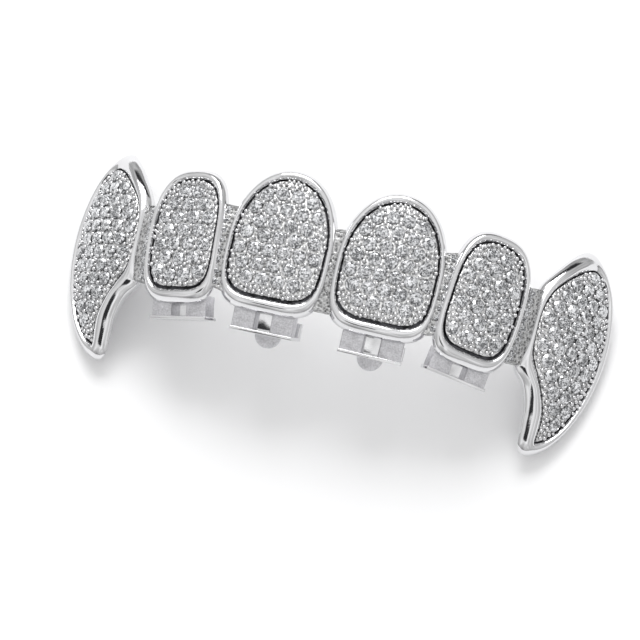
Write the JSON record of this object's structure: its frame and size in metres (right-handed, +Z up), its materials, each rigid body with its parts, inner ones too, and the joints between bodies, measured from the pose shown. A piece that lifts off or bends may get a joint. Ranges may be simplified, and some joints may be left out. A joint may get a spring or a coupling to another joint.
{
  "type": "fanged grillz",
  "caption": "Jewelled caps for the upper front teeth: rimmed metal shells set with round clear stones, long curved fangs at both ends, and small seating brackets behind.",
  "frame": {"origin": "centre of the bounding box, on the surface that the jewel lies on", "axes": "+X across the dental arch, to the right in the picture; +Y towards the gum edges of the caps; +Z up, out of the faces of the central caps. The jewel lies by itself on the rear edges of its two fangs"},
  "size_m": [0.0468, 0.0182, 0.0118],
  "materials": {
    "polished_silver": "mirror polished, blasted on the brackets",
    "clear_stone": "faceted clear stones in bright metal"
  },
  "bodies": {
    "root": {"cap_casting": "polished_silver", "stones_central_left": "clear_stone", "stones_central_right": "clear_stone", "stones_lateral_left": "clear_stone", "stones_lateral_right": "clear_stone", "stones_fang_left": "clear_stone", "stones_fang_right": "clear_stone"}
  },
  "joints": []
}
